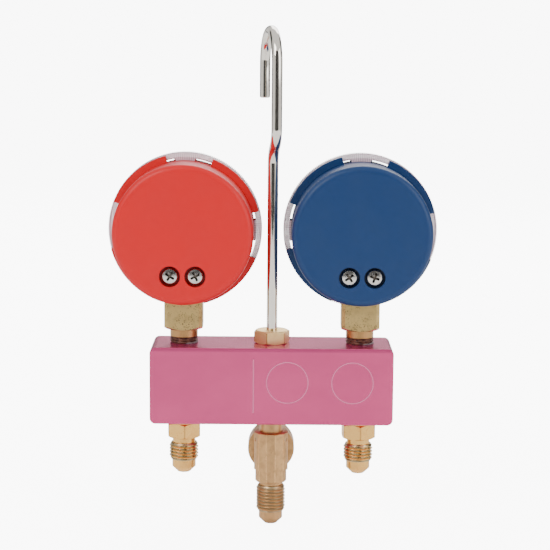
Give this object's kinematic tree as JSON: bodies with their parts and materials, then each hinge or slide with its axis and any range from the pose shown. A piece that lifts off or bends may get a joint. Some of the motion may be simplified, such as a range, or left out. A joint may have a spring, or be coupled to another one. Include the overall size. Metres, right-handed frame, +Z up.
{
  "type": "refrigerant manifold gauge",
  "caption": "Pink anodised refrigerant manifold with red and blue dial gauges, ball valves with levers, flare hose ports, a sight glass and a swivelling chrome hanging hook.",
  "frame": {"origin": "on the centre hose port's axis, at the outer end of its thread", "axes": "+Z up through the block to the hanging hook, -Y the plain back with the case screws, +Y the side with dials and levers, -X the high-pressure side"},
  "size_m": [0.1248, 0.039, 0.1892],
  "materials": {
    "anodised_pink": "pink anodised, satin, with light engraved line work",
    "turned_brass": "bright turned brass with tool marks",
    "forged_brass": "dull forged and blasted brass",
    "chrome_wire": "polished chrome plate",
    "red_plastic": "satin moulded plastic, red",
    "blue_plastic": "satin moulded plastic, blue",
    "clear_plastic": "clear moulded plastic",
    "clear_glass": "clear glass",
    "black_rubber": "plain black rubber",
    "white_seal": "white PTFE",
    "nickel_steel": "nickel plated steel",
    "tube_bronze": "drawn phosphor bronze",
    "movement_brass": "stamped brass sheet",
    "dial_white": "white enamel with printed scales",
    "pointer_black": "matt black enamel"
  },
  "bodies": {
    "root": {"centre_fitting": "forged_brass", "high_gauge_bourdon_tube": "tube_bronze", "high_gauge_case": "red_plastic", "high_gauge_case_screws": "nickel_steel", "high_gauge_cover_gasket": "black_rubber", "high_gauge_dial": "dial_white", "high_gauge_dial_screws": "nickel_steel", "high_gauge_front_plate": "movement_brass", "high_gauge_hairspring": "tube_bronze", "high_gauge_movement_screws": "nickel_steel", "high_gauge_rear_plate": "movement_brass", "high_gauge_socket": "forged_brass", "high_gauge_tube_tip": "movement_brass", "high_hose_fitting": "turned_brass", "high_valve_bonnet": "turned_brass", "high_valve_packing": "white_seal", "high_valve_seats": "white_seal", "hook_nut": "turned_brass", "low_gauge_bourdon_tube": "tube_bronze", "low_gauge_case": "blue_plastic", "low_gauge_case_screws": "nickel_steel", "low_gauge_cover_gasket": "black_rubber", "low_gauge_dial": "dial_white", "low_gauge_dial_screws": "nickel_steel", "low_gauge_front_plate": "movement_brass", "low_gauge_hairspring": "tube_bronze", "low_gauge_movement_screws": "nickel_steel", "low_gauge_rear_plate": "movement_brass", "low_gauge_socket": "forged_brass", "low_gauge_tube_tip": "movement_brass", "low_hose_fitting": "turned_brass", "low_valve_bonnet": "turned_brass", "low_valve_packing": "white_seal", "low_valve_seats": "white_seal", "manifold_block": "anodised_pink", "passage_plugs": "turned_brass", "sight_glass": "clear_glass", "sight_glass_gasket": "black_rubber", "sight_glass_ring": "turned_brass"},
    "hook": {"hanging_hook": "chrome_wire"},
    "high_valve": {"high_valve_ball": "chrome_wire", "high_valve_stem": "turned_brass", "high_valve_lever": "red_plastic", "high_valve_lever_screw": "nickel_steel"},
    "high_cover": {"high_gauge_cover": "clear_plastic"},
    "high_sector": {"high_gauge_sector_gear": "movement_brass"},
    "high_pointer": {"high_gauge_pinion": "nickel_steel", "high_gauge_pointer": "pointer_black"},
    "high_link": {"high_gauge_link": "movement_brass"},
    "low_valve": {"low_valve_ball": "chrome_wire", "low_valve_stem": "turned_brass", "low_valve_lever": "blue_plastic", "low_valve_lever_screw": "nickel_steel"},
    "low_cover": {"low_gauge_cover": "clear_plastic"},
    "low_sector": {"low_gauge_sector_gear": "movement_brass"},
    "low_pointer": {"low_gauge_pinion": "nickel_steel", "low_gauge_pointer": "pointer_black"},
    "low_link": {"low_gauge_link": "movement_brass"}
  },
  "joints": [
    {"name": "hook_swivel", "type": "hinge", "parent": "root", "child": "hook", "pos_m": [0, 0, 0.0652], "axis": [0, 0, 1], "continuous": true},
    {"name": "high_valve_turn", "type": "hinge", "parent": "root", "child": "high_valve", "pos_m": [-0.01663, 0, 0.0507], "axis": [0, -1, 0], "range_deg": [0, 90]},
    {"name": "high_cover_twist", "type": "hinge", "parent": "root", "child": "high_cover", "pos_m": [-0.03325, 0, 0.1072], "axis": [0, 1, 0], "range_deg": [0, 24]},
    {"name": "high_gauge_movement", "type": "hinge", "parent": "root", "child": "high_sector", "pos_m": [-0.03781, 0, 0.09741], "axis": [0, 1, 0], "range_deg": [0, 33.75], "stiffness_Nm_per_rad": 0.004},
    {"name": "high_gauge_reading", "type": "hinge", "parent": "root", "child": "high_pointer", "pos_m": [-0.03325, 0, 0.1072], "axis": [0, -1, 0], "range_deg": [0, 270]},
    {"name": "high_link_swing", "type": "hinge", "parent": "high_sector", "child": "high_link", "pos_m": [-0.04135, 0, 0.0932], "axis": [0, -1, 0], "range_deg": [0, 33.75]},
    {"name": "low_valve_turn", "type": "hinge", "parent": "root", "child": "low_valve", "pos_m": [0.01663, 0, 0.0507], "axis": [0, 1, 0], "range_deg": [0, 90]},
    {"name": "low_cover_twist", "type": "hinge", "parent": "root", "child": "low_cover", "pos_m": [0.03325, 0, 0.1072], "axis": [0, 1, 0], "range_deg": [0, 24]},
    {"name": "low_gauge_movement", "type": "hinge", "parent": "root", "child": "low_sector", "pos_m": [0.02869, 0, 0.09741], "axis": [0, 1, 0], "range_deg": [-3, 30.75], "stiffness_Nm_per_rad": 0.004},
    {"name": "low_gauge_reading", "type": "hinge", "parent": "root", "child": "low_pointer", "pos_m": [0.03325, 0, 0.1072], "axis": [0, -1, 0], "range_deg": [-24, 246]},
    {"name": "low_link_swing", "type": "hinge", "parent": "low_sector", "child": "low_link", "pos_m": [0.02515, 0, 0.0932], "axis": [0, -1, 0], "range_deg": [-3, 30.75]}
  ],
  "couplings": [
    {"joint": "high_gauge_reading", "follows": "high_gauge_movement", "ratio": 8},
    {"joint": "high_link_swing", "follows": "high_gauge_movement", "ratio": 1},
    {"joint": "low_gauge_reading", "follows": "low_gauge_movement", "ratio": 8},
    {"joint": "low_link_swing", "follows": "low_gauge_movement", "ratio": 1}
  ]
}
